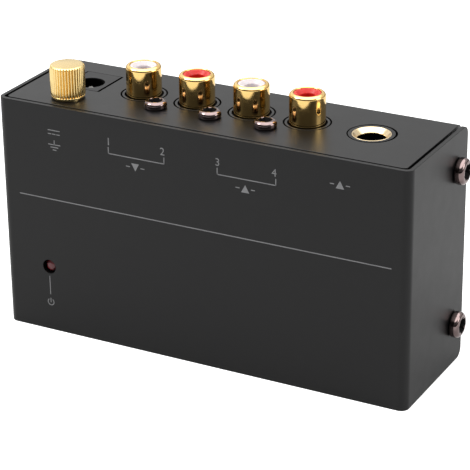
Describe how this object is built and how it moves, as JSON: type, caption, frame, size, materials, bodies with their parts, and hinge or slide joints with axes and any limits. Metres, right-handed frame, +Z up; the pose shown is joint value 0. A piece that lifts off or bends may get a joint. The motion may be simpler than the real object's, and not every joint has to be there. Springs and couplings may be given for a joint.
{
  "type": "phono preamp",
  "caption": "Small phono preamp in a folded steel case, with phono jacks, a 6.35 mm output jack, a power inlet and a knurled ground nut.",
  "frame": {"origin": "middle of the narrow side that the case stands on", "axes": "+X along the case to the output jack's end, +Y to the base sheet with the feet, +Z up to the connectors"},
  "size_m": [0.1086, 0.0332, 0.0652],
  "materials": {
    "painted_cover": "fine satin black paint",
    "painted_chassis": "fine satin black paint",
    "black_nickel": "polished black nickel",
    "zinc": "zinc plated",
    "dark_moulding": "moulded black plastic",
    "gold_satin": "gold plated, satin",
    "gold_polished": "gold plated, polished",
    "tinned_contact": "tinned brass",
    "wire_jacket": "green insulated lead",
    "board_laminate": "solder-resist green",
    "capacitor_sleeve": "shrink sleeve",
    "film_case": "moulded case",
    "red_lens": "tinted epoxy",
    "white_insulator": "white moulding",
    "red_insulator": "red moulding",
    "foot_rubber": "matt black rubber"
  },
  "bodies": {
    "case": {"amplifier_chips": "dark_moulding", "board_screws": "zinc", "board_standoffs": "zinc", "chassis": "painted_chassis", "chip_resistors": "dark_moulding", "circuit_board": "board_laminate", "cover": "painted_cover", "electrolytic_capacitors": "capacitor_sleeve", "end_screws": "black_nickel", "film_capacitors": "film_case", "ground_hex_nut": "zinc", "ground_lock_washer": "zinc", "ground_lug": "tinned_contact", "ground_stud": "gold_satin", "ground_wire": "wire_jacket", "output_jack_body": "dark_moulding", "output_jack_ferrule": "gold_satin", "output_jack_ring_spring": "tinned_contact", "output_jack_sleeve_spring": "tinned_contact", "output_jack_tip_spring": "tinned_contact", "phono_block": "dark_moulding", "phono_block_screws": "black_nickel", "phono_contact_input_left": "tinned_contact", "phono_contact_input_right": "tinned_contact", "phono_contact_output_left": "tinned_contact", "phono_contact_output_right": "tinned_contact", "phono_ground_lugs": "tinned_contact", "phono_insulator_input_left": "white_insulator", "phono_insulator_input_right": "red_insulator", "phono_insulator_output_left": "white_insulator", "phono_insulator_output_right": "red_insulator", "phono_shell_input_left": "gold_polished", "phono_shell_input_right": "gold_polished", "phono_shell_output_left": "gold_polished", "phono_shell_output_right": "gold_polished", "power_inlet_barrel_spring": "tinned_contact", "power_inlet_body": "dark_moulding", "power_inlet_pin": "tinned_contact", "power_light": "red_lens", "power_light_leads": "tinned_contact", "power_light_spacer": "white_insulator", "protection_diode": "dark_moulding", "rubber_feet": "foot_rubber", "voltage_regulator": "dark_moulding"},
    "washer": {"ground_washer": "gold_satin"},
    "thumb_nut": {"ground_thumb_nut": "gold_satin"}
  },
  "joints": [
    {"name": "thumb_nut_lift", "type": "slide", "parent": "case", "child": "washer", "axis": [0, 0, 1], "range_m": [0, 0.0028]},
    {"name": "thumb_nut_turn", "type": "hinge", "parent": "washer", "child": "thumb_nut", "pos_m": [-0.0371, -0.0086, 0.0572], "axis": [0, 0, 1], "range_deg": [0, 1440]}
  ],
  "couplings": [
    {"joint": "thumb_nut_turn", "follows": "thumb_nut_lift", "rad_per_m": 8976}
  ]
}
